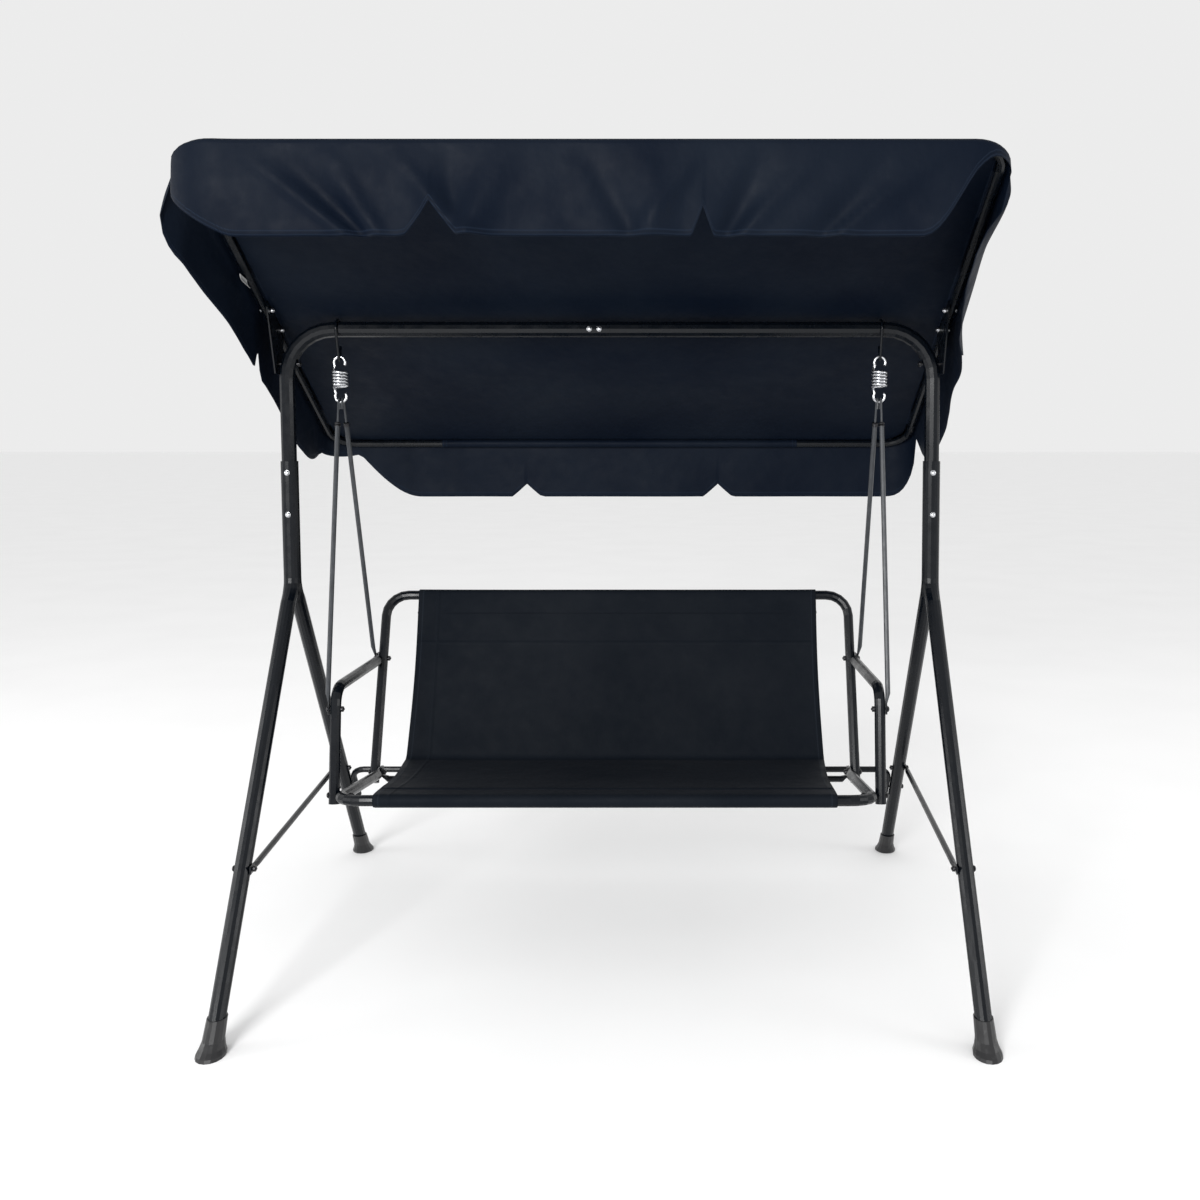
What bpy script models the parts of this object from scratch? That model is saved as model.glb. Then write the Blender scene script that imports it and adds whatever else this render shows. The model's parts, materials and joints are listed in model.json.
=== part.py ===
"""Three-seat garden swing bench with a tilting canopy.

World frame: metres, +Z up, feet on Z = 0, front towards -Y, symmetric about X = 0.
Every visible object is one loose piece of the real bench.
"""
from math import asin, atan2, cos, pi, radians, sin, tan

import bmesh
import bpy
from mathutils import Matrix, Vector

# ---- driving dimensions -------------------------------------------------
GAP = 0.0004              # clearance between touching pieces
FRAME_R = 0.017           # radius of the main frame tube
LEG_R = 0.017             # radius of the leg tube
SPLAY = 0.0208            # outward lean of the end frames, metres of X per metre of Z
FOOT_X = 0.755            # leg centre at the ground
FOOT_Y = 0.560            # leg centre at the ground, from the middle
BAR_Z = 1.425             # centre of the top bar
BAR_BEND = 0.110          # bend radius between upright and top bar
UPRIGHT_END_Z = 0.858     # lower end of the upright, inside the leg shells
SHELL_TOP_Z = 1.132       # top of the pressed leg ends
SHELL_R = 0.0195          # outer radius of the pressed leg ends
SHELL_WRAP = radians(74)  # half of the angle that a pressed leg end wraps
LEG_BEND_Z = 0.8355       # where the leg leaves the upright
LEG_OFFSET = 0.0185       # leg tube centre in front of, or behind, the upright
LEG_BEND = 0.10
CLAMP_BOLT_Z = {"upper": 1.106, "lower": 1.011}
BRACE_Z = 0.303
BRACE_R = 0.0065
CROSS_R = 0.008
CROSS_X = 0.7240
CROSS_Z = 0.297
CROSS_END_Z = 0.210
CROSS_BOLT_Z = 0.238
SPIGOT_R = 0.0143
SPIGOT_LENGTH = 0.070
RAIL_BOLT_X = (-0.044, -0.022)

HANG_X = 0.608            # springs and hooks
SPRING_WIRE_R = 0.003
SPRING_R = 0.015          # mean radius of the coil
SPRING_TURNS = 5
COIL_TOP_Z = 1.3325
COIL_BOTTOM_Z = 1.2985
LOOP_R = 0.0125           # mean radius of the spring's end loops
UPPER_LOOP_Z = 1.3525
LOWER_LOOP_Z = 1.2775
ROD_PIVOT_Z = LOWER_LOOP_Z - LOOP_R
HOOK_WIRE_R = 0.003
HOOK_TOP_R = FRAME_R + HOOK_WIRE_R + 0.0005
WRAP_R = 0.0070           # wire hooks wrap the spring loops at this radius
ROD_WIRE_R = 0.0025
ROD_R = 0.0055
ROD_TUBE_TOP_Z = 1.218

SEAT_R = 0.012            # radius of the seat, back and arm tubes
RAIL_X = 0.571
BACK_X = 0.589
ARM_X = 0.5955
SEAT_FRONT = Vector((0, -0.300, 0.428))
JUNCTION = Vector((0, 0.095, 0.372))
BACK_END_Z = 0.348
BACK_TOP_Z = 0.783
BACK_LEAN = 0.4615        # metres of Y per metre of Z
ARM_BOTTOM = Vector((0, -0.225, 0.396))
ARM_CORNER = Vector((0, -0.175, 0.642))
ARM_BACK = Vector((0, 0.215, 0.632))
FRONT_ROD_END = Vector((0, -0.1843, 0.598))
FLAT = 0.002              # half thickness of a flattened tube end
SLING_HALF_WIDTH = 0.50
SLING_T = 0.0012          # half thickness of the sling
SLING_FOLD = Vector((0, 0.098, 0.402))

PIVOT_Z = 1.349           # canopy pivot height
CANOPY_SLOPE = 0.62       # metres of Z lost per metre of Y
CANOPY_MID_Z = 1.445      # canopy rail height above the pivot
CANOPY_R = 0.009
CANOPY_X = 0.7585
CANOPY_FRONT_Y = -0.440
CANOPY_REAR_Y = 0.450
CANOPY_BEND = 0.060
PLATE_X = 0.7475
PLATE_T = 0.0015          # half thickness of the pivot plate
FABRIC_T = 0.0025
FABRIC_HALF_WIDTH = 0.7755
VALANCE = 0.150
NOTCH_X = 0.250

BOLT_R = 0.003
HOLE_R = 0.0037

BLACK = ("black_powder_coat", (0.022, 0.023, 0.025, 1), 0.42, 0.55)
GREY = ("grey_satin_rod", (0.075, 0.078, 0.082, 1), 0.40, 0.6)
ZINC = ("bright_zinc", (0.72, 0.72, 0.70, 1), 0.28, 1.0)
DARK_BOLT = ("black_oxide", (0.03, 0.03, 0.03, 1), 0.45, 0.8)
PLASTIC = ("black_plastic", (0.018, 0.018, 0.018, 1), 0.40, 0.0)
CANVAS = ("dark_canvas", (0.020, 0.022, 0.028, 1), 0.80, 0.0)
SLING_CLOTH = ("sling_cloth", (0.018, 0.020, 0.023, 1), 0.85, 0.0)
LABEL = ("label_cloth", (0.62, 0.64, 0.66, 1), 0.80, 0.0)

X_AXIS = Vector((1, 0, 0))
Y_AXIS = Vector((0, 1, 0))
SIDES = {"left": -1, "right": 1}
ENDS = {"front": -1, "rear": 1}


# ---- scene helpers ------------------------------------------------------
def clear_scene():
    for old in list(bpy.data.objects):
        bpy.data.objects.remove(old, do_unlink=True)


def material(spec):
    name, colour, roughness, metallic = spec
    made = bpy.data.materials.get(name)
    if made is None:
        made = bpy.data.materials.new(name)
        made.use_nodes = True
        made.diffuse_color = colour
        shader = made.node_tree.nodes["Principled BSDF"]
        shader.inputs["Base Color"].default_value = colour
        shader.inputs["Roughness"].default_value = roughness
        shader.inputs["Metallic"].default_value = metallic
    return made


def add_object(name, data, spec, pivot=None):
    """Link data as an object; a moving piece gets its origin on its pivot."""
    made = bpy.data.objects.new(name, data)
    bpy.context.scene.collection.objects.link(made)
    data.materials.append(material(spec))
    if pivot is not None and isinstance(data, bpy.types.Mesh):
        data.transform(Matrix.Translation(-pivot))
        made.location = pivot
    return made


def frame_x(z):
    """Distance of the end frame's centre from the middle at height z."""
    return FOOT_X - SPLAY * z


# ---- geometry helpers ---------------------------------------------------
def circle(sides):
    return [(cos(2 * pi * i / sides), sin(2 * pi * i / sides)) for i in range(sides)]


def rounded_path(corners, radius, steps=5):
    """Replace each inner corner of a polyline with an arc of the given radius."""
    path = [corners[0]]
    for before, corner, after in zip(corners, corners[1:], corners[2:]):
        to_before = (before - corner).normalized()
        to_after = (after - corner).normalized()
        half = to_before.angle(to_after) / 2
        centre = corner + (to_before + to_after).normalized() * radius / sin(half)
        start = (corner + to_before * radius / tan(half) - centre).normalized()
        end = (corner + to_after * radius / tan(half) - centre).normalized()
        path += [centre + start.slerp(end, i / steps) * radius for i in range(steps + 1)]
    return path + [corners[-1]]


def tangents(path):
    last = len(path) - 1
    ahead = [(path[min(i + 1, last)] - p).normalized() for i, p in enumerate(path)]
    behind = [(p - path[max(i - 1, 0)]).normalized() for i, p in enumerate(path)]
    return [(a + b).normalized() for a, b in zip(ahead, behind)]


def mesh_from_rings(name, rings):
    """Skin a list of equal rings into one closed mesh."""
    made = bmesh.new()
    loops = [[made.verts.new(point) for point in ring] for ring in rings]
    count = len(loops[0])
    for low, high in zip(loops, loops[1:]):
        for i in range(count):
            j = (i + 1) % count
            made.faces.new((low[i], low[j], high[j], high[i]))
    made.faces.new(loops[0][::-1])
    made.faces.new(loops[-1])
    bmesh.ops.recalc_face_normals(made, faces=made.faces)
    mesh = bpy.data.meshes.new(name)
    made.to_mesh(mesh)
    made.free()
    return mesh


def loft(name, path, across, section, sizes, spec, pivot=None):
    """Sweep a section along a path; sizes gives (half across, half side) at each point."""
    rings = []
    for point, tangent, (wide, deep) in zip(path, tangents(path), sizes):
        side = tangent.cross(across).normalized()
        rings.append([point + across * wide * a + side * deep * b for a, b in section])
    return add_object(name, mesh_from_rings(name, rings), spec, pivot)


def tube(name, path, across, radius, spec, pivot=None, sides=12):
    return loft(name, path, across, circle(sides), [(radius, radius)] * len(path), spec, pivot)


def wire(name, points, radius, spec, sides_level):
    curve = bpy.data.curves.new(name, "CURVE")
    curve.dimensions = "3D"
    curve.bevel_depth = radius
    curve.bevel_resolution = sides_level
    curve.use_fill_caps = True
    spline = curve.splines.new("POLY")
    spline.points.add(len(points) - 1)
    for slot, point in zip(spline.points, points):
        slot.co = (*point, 1)
    return add_object(name, curve, spec)


def spindle(name, start, direction, stations, spec, pivot=None, sides=8):
    """A turned piece: stations are (distance along the axis, radius)."""
    axis = direction.normalized()
    side = axis.cross(Y_AXIS if abs(axis.x) > 0.9 else X_AXIS).normalized()
    across = side.cross(axis)
    rings = []
    for distance, radius in stations:
        centre = start + axis * distance
        rings.append([centre + (across * a + side * b) * radius for a, b in circle(sides)])
    return add_object(name, mesh_from_rings(name, rings), spec, pivot)


def subtract(target, cutter):
    """Cut one object out of another and drop the cutter."""
    change = target.modifiers.new("cut", "BOOLEAN")
    change.operation = "DIFFERENCE"
    change.solver = "EXACT"
    change.object = cutter
    graph = bpy.context.evaluated_depsgraph_get()
    cut = bpy.data.meshes.new_from_object(target.evaluated_get(graph))
    target.modifiers.clear()
    target.data = cut
    bpy.data.objects.remove(cutter, do_unlink=True)


def drill(targets, centre, direction, radius=HOLE_R, reach=0.06):
    """Drill one straight round hole through every target."""
    for target in targets:
        start = centre - direction.normalized() * reach
        cutter = spindle("drill", start, direction, [(0, radius), (2 * reach, radius)], BLACK)
        subtract(target, cutter)


def bolt(name, grip_start, grip_end, spec, targets, pivot=None, head=0.0075, nut=0.0065):
    """One fastener with a domed head at grip_start and a nut at grip_end, through the targets."""
    direction = grip_end - grip_start
    grip = direction.length
    stations = [
        (-0.0048, head * 0.45), (-0.0034, head * 0.85), (-GAP, head), (-GAP, BOLT_R),
        (grip + GAP, BOLT_R), (grip + GAP, nut), (grip + 0.0052, nut), (grip + 0.0052, BOLT_R),
        (grip + 0.0075, BOLT_R),
    ]
    drill(targets, (grip_start + grip_end) / 2, direction)
    return spindle(name, grip_start, direction, stations, spec, pivot)


def mirrored(points, side):
    return [Vector((point.x * side, point.y, point.z)) for point in points]


def at_x(point, x):
    return Vector((x, point.y, point.z))


# ---- fixed frame --------------------------------------------------------
def leg_path(side, end):
    def spot(y, z):
        return Vector((side * frame_x(z), end * y, z))

    toe_z = 0.012
    toe_y = FOOT_Y - toe_z * (FOOT_Y - LEG_OFFSET) / LEG_BEND_Z
    corners = [spot(LEG_OFFSET, SHELL_TOP_Z), spot(LEG_OFFSET, LEG_BEND_Z), spot(toe_y, toe_z)]
    path = rounded_path(corners, LEG_BEND)
    return [path[0], spot(LEG_OFFSET, 0.872)] + path[1:]


def leg_point(side, end, z):
    """Centre of the straight part of a leg at height z."""
    y = FOOT_Y - z * (FOOT_Y - LEG_OFFSET) / LEG_BEND_Z
    return Vector((side * frame_x(z), end * y, z))


def make_leg(name, side, end):
    """Round tube whose top is pressed into a shell that hugs the upright."""
    half = 8
    angles = [-1 + 2 * i / (half - 1) for i in range(half)]
    inner_r = FRAME_R + GAP
    shell = [(SHELL_R * sin(a * SHELL_WRAP), SHELL_R * cos(a * SHELL_WRAP)) for a in angles]
    shell += [(inner_r * sin(-a * SHELL_WRAP), inner_r * cos(-a * SHELL_WRAP)) for a in angles]
    spread = pi / 2 * (1 - 1 / (2 * half))
    full = [(LEG_R * sin(a * spread), LEG_R * cos(a * spread)) for a in angles]
    full += [(LEG_R * sin(-a * spread), -LEG_R * cos(-a * spread)) for a in angles]
    rings = []
    path = leg_path(side, end)
    for point, tangent in zip(path, tangents(path)):
        outward = X_AXIS.cross(tangent).normalized()
        if outward.y * end < 0:
            outward = -outward
        blend = min(1.0, max(0.0, (0.856 - point.z) / 0.045))
        ring = []
        for (su, sw), (fu, fw) in zip(shell, full):
            u = su + (fu - su) * blend
            w = (sw - LEG_OFFSET) + (fw - sw + LEG_OFFSET) * blend
            ring.append(point + X_AXIS * u + outward * w)
        rings.append(ring)
    return add_object(name, mesh_from_rings(name, rings), BLACK)


def make_foot(name, side, end):
    """Flared plastic cap that stands flat on the ground and takes the leg's end."""
    outline = [(0.000, 0.0285), (0.006, 0.0285), (0.014, 0.0245), (0.026, 0.0210), (0.060, 0.0195)]
    lean = leg_point(side, end, 1.0) - leg_point(side, end, 0.0)
    stretch = lean.length
    rings = []
    for z, radius in outline:
        centre = leg_point(side, end, z)
        rings.append([centre + Vector((a, b * stretch, 0)) * radius for a, b in circle(16)])
    foot = add_object(name, mesh_from_rings(name, rings), PLASTIC)
    low = leg_point(side, end, 0.010)
    along = leg_point(side, end, 0.2) - low
    cutter = spindle("socket", low, along, [(0, 0.0176), (0.12, 0.0176)], BLACK, sides=16)
    subtract(foot, cutter)
    return foot


def make_top_rails():
    """Two halves of the upright-and-top-bar tube, joined by a spigot near the middle."""
    halves = {}
    for word, side in SIDES.items():
        corners = [
            Vector((frame_x(UPRIGHT_END_Z), 0, UPRIGHT_END_Z)),
            Vector((frame_x(BAR_Z), 0, BAR_Z)),
            Vector((GAP / 2, 0, BAR_Z)),
        ]
        path = mirrored(rounded_path(corners, BAR_BEND, 7), side)
        sizes = [(FRAME_R, FRAME_R)] * len(path)
        if side > 0:
            inside = Vector((-SPIGOT_LENGTH, 0, BAR_Z))
            path += [path[-1] - X_AXIS * 0.0001, inside]
            sizes += [(SPIGOT_R, SPIGOT_R)] * 2
        name = "top_rail_" + word
        halves[word] = loft(name, path, Y_AXIS, circle(12), sizes, BLACK)
    mouth = Vector((0.01, 0, BAR_Z))
    depth = SPIGOT_LENGTH + 0.012
    cutter = spindle("bore", mouth, -X_AXIS, [(0, 0.0150), (depth, 0.0150)], BLACK, sides=12)
    subtract(halves["left"], cutter)
    for number, x in enumerate(RAIL_BOLT_X, start=1):
        start = Vector((x, -FRAME_R, BAR_Z))
        stop = Vector((x, FRAME_R, BAR_Z))
        bolt(f"top_rail_bolt_{number}", start, stop, ZINC, list(halves.values()))
    return halves


def make_clamps(rails, legs):
    for word, side in SIDES.items():
        held = [rails[word], legs["front", word], legs["rear", word]]
        for level, z in CLAMP_BOLT_Z.items():
            start = Vector((side * frame_x(z), -SHELL_R, z))
            stop = Vector((side * frame_x(z), SHELL_R, z))
            bolt(f"clamp_bolt_{level}_{word}", start, stop, ZINC, held, head=0.0080)


def make_braces(legs):
    """A side brace runs from the inner face of the front leg to the outer face of the rear leg."""
    for word, side in SIDES.items():
        front = leg_point(side, -1, BRACE_Z)
        rear = leg_point(side, 1, BRACE_Z)
        shift = side * (LEG_R + GAP + FLAT)
        start = front - X_AXIS * shift
        stop = rear + X_AXIS * shift
        run = (stop - start).normalized()
        path = [start - run * 0.013, start + run * 0.013, start + run * 0.034]
        path += [stop - run * 0.034, stop - run * 0.013, stop + run * 0.013]
        flat = (FLAT, 0.0095)
        full = (BRACE_R, BRACE_R)
        across = (X_AXIS - run * run.dot(X_AXIS)).normalized()
        sizes = [flat, flat, full, full, flat, flat]
        brace = loft("side_brace_" + word, path, across, circle(10), sizes, BLACK)
        edge = LEG_R + GAP + 2 * FLAT + GAP + 0.0004
        bolt("brace_bolt_front_" + word, front + X_AXIS * side * LEG_R, front - X_AXIS * side * edge,
             DARK_BOLT, [legs["front", word], brace])
        bolt("brace_bolt_rear_" + word, rear + X_AXIS * side * edge, rear - X_AXIS * side * LEG_R,
             DARK_BOLT, [legs["rear", word], brace])


def make_rear_crossbar(legs):
    def spot(x, z):
        return at_x(leg_point(1, 1, z), x)

    corners = [spot(-CROSS_X, CROSS_END_Z), spot(-CROSS_X, CROSS_Z)]
    corners += [spot(CROSS_X, CROSS_Z), spot(CROSS_X, CROSS_END_Z)]
    path = rounded_path(corners, 0.032)
    slope = corners[1] - corners[0]
    across = slope.cross(X_AXIS).normalized()
    bar = tube("rear_crossbar", path, across, CROSS_R, BLACK, sides=10)
    for word, side in SIDES.items():
        leg = leg_point(side, 1, CROSS_BOLT_Z)
        start = leg + X_AXIS * side * LEG_R
        stop = at_x(leg, side * (CROSS_X - CROSS_R))
        bolt("crossbar_bolt_" + word, start, stop, DARK_BOLT, [legs["rear", word], bar])


# ---- canopy -------------------------------------------------------------
def canopy_point(x, y, lift=0.0):
    """Point on the canopy rails' line, lifted square to the slope."""
    slope = atan2(CANOPY_SLOPE, 1)
    return Vector((x, y + lift * sin(slope), CANOPY_MID_Z - CANOPY_SLOPE * y + lift * cos(slope)))


def prism(name, outline, half_width, spec, pivot=None):
    """Extrude an outline in the YZ plane to +-half_width."""
    rings = [[at_x(point, x) for point in outline] for x in (-half_width, half_width)]
    return add_object(name, mesh_from_rings(name, rings), spec, pivot)


def moved(target, offset):
    target.data.transform(Matrix.Translation(offset))
    return target


def make_canopy(rails):
    pivot = Vector((0, 0, PIVOT_Z))
    bows = {}
    for word, end_y, stop_y in (("front", CANOPY_FRONT_Y, -0.0012), ("rear", CANOPY_REAR_Y, 0.0012)):
        corners = [canopy_point(-CANOPY_X, stop_y), canopy_point(-CANOPY_X, end_y)]
        corners += [canopy_point(CANOPY_X, end_y), canopy_point(CANOPY_X, stop_y)]
        path = rounded_path(corners, CANOPY_BEND)
        across = (corners[1] - corners[0]).cross(X_AXIS).normalized()
        bows[word] = tube(f"canopy_bow_{word}", path, across, CANOPY_R, BLACK, pivot, sides=10)
    for word, side in SIDES.items():
        low = Vector((0, 0, PIVOT_Z - 0.022))
        outline = [
            canopy_point(0, -0.050, 0.008), canopy_point(0, -0.050, -0.008), low + Y_AXIS * -0.020,
            low + Y_AXIS * 0.020, canopy_point(0, 0.050, -0.008), canopy_point(0, 0.050, 0.008),
        ]
        plate = prism("canopy_plate_" + word, outline, PLATE_T, BLACK, pivot)
        moved(plate, X_AXIS * side * PLATE_X)
        for end, y in (("front", -0.030), ("rear", 0.030)):
            centre = canopy_point(0, y)
            start = at_x(centre, side * (CANOPY_X + CANOPY_R))
            stop = at_x(centre, side * (PLATE_X - PLATE_T - 0.0002))
            bolt(f"canopy_bolt_{end}_{word}", start, stop, ZINC, [bows[end], plate], pivot,
                 head=0.0060, nut=0.0055)
        inner = side * (frame_x(PIVOT_Z) - FRAME_R - 0.009)
        outer = side * (PLATE_X + PLATE_T + 0.0002)
        bolt("canopy_pivot_" + word, at_x(pivot, outer), at_x(pivot, inner), DARK_BOLT,
             [rails[word], plate], head=0.0070)
    make_canopy_cover(pivot)


def make_canopy_cover(pivot):
    """Fabric roof with a valance on all four sides, open underneath."""
    lift = CANOPY_R + 0.0008
    slope_lift = lift / cos(atan2(CANOPY_SLOPE, 1))
    front = CANOPY_FRONT_Y - CANOPY_R - 0.001
    rear = CANOPY_REAR_Y + CANOPY_R + 0.001

    def shell_outline(grow, drop):
        top = slope_lift + grow / cos(atan2(CANOPY_SLOPE, 1))
        spots = [(front - grow, top), (rear + grow, top), (rear + grow, -drop), (front - grow, -drop)]
        return [canopy_point(0, y) + Vector((0, 0, dz)) for y, dz in spots]

    cover = prism("canopy_fabric", shell_outline(FABRIC_T, VALANCE), FABRIC_HALF_WIDTH, CANVAS, pivot)
    hollow = prism("hollow", shell_outline(0, VALANCE + 0.1), FABRIC_HALF_WIDTH - FABRIC_T, CANVAS)
    subtract(cover, hollow)
    for y, height in ((front, 0.060), (rear, 0.034)):
        hem_z = canopy_point(0, y).z - VALANCE
        for x in (-NOTCH_X, NOTCH_X):
            tip = [(x - 0.030, -0.02), (x + 0.030, -0.02), (x + 0.004, height), (x - 0.004, height)]
            rings = [[Vector((u, y + dy, hem_z + v)) for u, v in tip] for dy in (-0.02, 0.02)]
            subtract(cover, add_object("notch", mesh_from_rings("notch", rings), CANVAS))
    for side in SIDES.values():
        hem_z = canopy_point(0, 0).z - VALANCE
        tip = [(-0.030, -0.04), (0.030, -0.04), (0.004, 0.045), (-0.004, 0.045)]
        x = side * FABRIC_HALF_WIDTH
        rings = [[Vector((x + dx, u, hem_z + v)) for u, v in tip] for dx in (-0.02, 0.02)]
        subtract(cover, add_object("notch", mesh_from_rings("notch", rings), CANVAS))
    centre = canopy_point(-0.7703, -0.137, -0.030)
    size = Vector((0.0004, 0.011, 0.011))
    label = prism("care_label", [Vector((0, a * size.y, b * size.z)) for a, b in
                                 ((-1, -1), (1, -1), (1, 1), (-1, 1))], size.x, LABEL)
    moved(label, centre)


# ---- hangers ------------------------------------------------------------
def make_hook(name, side):
    """Wire hook that hangs over the top bar and carries the spring's upper loop."""
    loop_top_z = UPPER_LOOP_Z + LOOP_R
    spread = asin((HOOK_TOP_R - WRAP_R) / (BAR_Z - loop_top_z))
    points = []
    for i in range(15):
        angle = -spread + (pi + 2 * spread) * i / 14
        points.append((HOOK_TOP_R * cos(angle), BAR_Z + HOOK_TOP_R * sin(angle)))
    for i in range(7):
        angle = pi + spread + (pi - 2 * spread) * i / 6
        points.append((WRAP_R * cos(angle), loop_top_z + WRAP_R * sin(angle)))
    first = Vector(points[0])
    last = Vector(points[-1])
    points.append(tuple(last.lerp(first, 0.45)))
    path = [Vector((side * HANG_X, y, z)) for y, z in points]
    return wire(name, path, HOOK_WIRE_R, BLACK, 1)


def make_spring(name, side):
    """Extension spring: round loop, close coil, round loop."""
    points = []
    for i in range(11):
        angle = radians(-30 + 240 * i / 10)
        points.append((LOOP_R * cos(angle), 0, UPPER_LOOP_Z + LOOP_R * sin(angle)))
    per_turn = 12
    count = SPRING_TURNS * per_turn
    for i in range(count + 1):
        angle = pi + 2 * pi * i / per_turn
        z = COIL_TOP_Z + (COIL_BOTTOM_Z - COIL_TOP_Z) * i / count
        points.append((SPRING_R * cos(angle), SPRING_R * sin(angle), z))
    for i in range(11):
        angle = radians(150 + 240 * i / 10)
        points.append((LOOP_R * cos(angle), 0, LOWER_LOOP_Z + LOOP_R * sin(angle)))
    path = [Vector((side * HANG_X + x, y, z)) for x, y, z in points]
    return wire(name, path, SPRING_WIRE_R, ZINC, 1)


def make_rod(name, side, end, wire_x, foot, foot_x):
    """Hanger rod: wire hook on the spring's loop, tube below it, flattened end for a bolt."""
    path = [Vector((side * wire_x, -end * WRAP_R, ROD_PIVOT_Z - 0.016))]
    for i in range(9):
        angle = pi * i / 8
        path.append(Vector((side * wire_x, -end * WRAP_R * cos(angle), ROD_PIVOT_Z + WRAP_R * sin(angle))))
    start = path[-1]
    stop = Vector((side * (foot_x + 0.004), foot.y, foot.z))
    run = (stop - start).normalized()
    neck = start + run * (start.z - ROD_TUBE_TOP_Z) / -run.z
    path += [neck, neck + run * 0.004, stop - run * 0.034]
    sizes = [(ROD_WIRE_R, ROD_WIRE_R)] * 11 + [(ROD_R, ROD_R)] * 2
    for back in (0.012, -0.012):
        path.append(at_x(stop - run * back, side * foot_x))
        sizes.append((FLAT * 0.8, 0.0085))
    return loft(name, path, X_AXIS, circle(8), sizes, GREY, Vector((0, 0, ROD_PIVOT_Z)))


# ---- seat ---------------------------------------------------------------
def back_point(x, z):
    return Vector((x, JUNCTION.y + BACK_LEAN * (z - JUNCTION.z), z))


def make_seat():
    pivot = Vector((0, 0, ROD_PIVOT_Z))
    run = (SEAT_FRONT - JUNCTION).normalized()
    rise = run.cross(X_AXIS).normalized()

    corners = []
    for side in (-1, 1):
        rear = at_x(JUNCTION + run * 0.055, side * RAIL_X)
        corners += [rear, at_x(SEAT_FRONT, side * RAIL_X)][::side * -1]
    body = rounded_path(corners, 0.055)
    tab_x = BACK_X - SEAT_R - GAP - FLAT
    tabs = {side: [at_x(JUNCTION + run * d, side * tab_x) for d in (0.020, -0.014)] for side in (-1, 1)}
    path = tabs[-1][::-1] + body + tabs[1]
    flat = (0.0145, FLAT)
    sizes = [flat] * 2 + [(SEAT_R, SEAT_R)] * len(body) + [flat] * 2
    rail = loft("seat_frame", path, rise, circle(12), sizes, BLACK, pivot)

    top = [back_point(-BACK_X, BACK_END_Z), back_point(-BACK_X, BACK_TOP_Z)]
    top += [back_point(BACK_X, BACK_TOP_Z), back_point(BACK_X, BACK_END_Z)]
    across = (top[1] - top[0]).cross(X_AXIS).normalized()
    back = tube("back_frame", rounded_path(top, 0.055), across, SEAT_R, BLACK, pivot)

    bar_x = tab_x - 2 * FLAT - GAP
    crossbar = make_seat_crossbar(bar_x, pivot)

    for word, side in SIDES.items():
        arm = make_arm("arm_" + word, side, pivot)
        outside = at_x(JUNCTION, side * (BACK_X + SEAT_R))
        inside = at_x(JUNCTION, side * (bar_x - FLAT - 0.0004))
        bolt("junction_bolt_" + word, outside, inside, DARK_BOLT, [back, rail, crossbar], pivot)
        low = ARM_BOTTOM.lerp(ARM_CORNER, 0.075)
        bolt("arm_bolt_" + word, at_x(low, side * (ARM_X + SEAT_R)), at_x(low, side * (RAIL_X - SEAT_R)),
             DARK_BOLT, [arm, rail], pivot)
        front_x = ARM_X + SEAT_R + GAP + FLAT * 0.8
        front = make_rod("hanger_rod_front_" + word, side, -1, HANG_X + 0.004, FRONT_ROD_END, front_x)
        bolt("hanger_bolt_front_" + word, at_x(FRONT_ROD_END, side * (front_x + FLAT * 0.8 + 0.0002)),
             at_x(FRONT_ROD_END, side * (ARM_X - SEAT_R)), DARK_BOLT, [front, arm], pivot)
        rear_x = BACK_X + SEAT_R + GAP + 2 * FLAT + GAP + FLAT * 0.8
        rear = make_rod("hanger_rod_rear_" + word, side, 1, HANG_X - 0.004, ARM_BACK, rear_x)
        bolt("hanger_bolt_rear_" + word, at_x(ARM_BACK, side * (rear_x + FLAT * 0.8 + 0.0002)),
             at_x(ARM_BACK, side * (BACK_X - SEAT_R)), DARK_BOLT, [rear, arm, back], pivot)


def make_seat_crossbar(bar_x, pivot):
    """Rear seat tube; its ends are flattened and turned up square against the rail tabs."""
    spots = [(-bar_x, 0.013), (-bar_x, -0.009), (-bar_x + 0.014, -0.018)]
    spots += [(-x, z) for x, z in reversed(spots)]
    path = [at_x(JUNCTION, x) + Vector((0, 0, z)) for x, z in spots]
    ends = [(0.011, FLAT), (0.011, FLAT), (CROSS_R, CROSS_R)]
    return loft("seat_crossbar", path, Y_AXIS, circle(10), ends + ends[::-1], BLACK, pivot)


def make_arm(name, side, pivot):
    run = (ARM_BACK - ARM_CORNER).normalized()
    corners = [at_x(ARM_BOTTOM, ARM_X), at_x(ARM_CORNER, ARM_X), at_x(ARM_BACK - run * 0.040, ARM_X)]
    path = rounded_path(corners, 0.045)
    sizes = [(SEAT_R, SEAT_R)] * len(path)
    tab_x = BACK_X + SEAT_R + GAP + FLAT
    path += [at_x(ARM_BACK - run * 0.016, tab_x), at_x(ARM_BACK + run * 0.014, tab_x)]
    sizes += [(FLAT, 0.0145)] * 2
    arm = loft(name, mirrored(path, side), X_AXIS, circle(12), sizes, BLACK, pivot)
    up = (ARM_CORNER - ARM_BOTTOM).normalized()
    mouth = at_x(ARM_BOTTOM, side * ARM_X) - up * 0.001
    cutter = spindle("bore", mouth, up, [(0, 0.0105), (0.011, 0.0105)], BLACK, sides=12)
    subtract(arm, cutter)
    return arm


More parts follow.
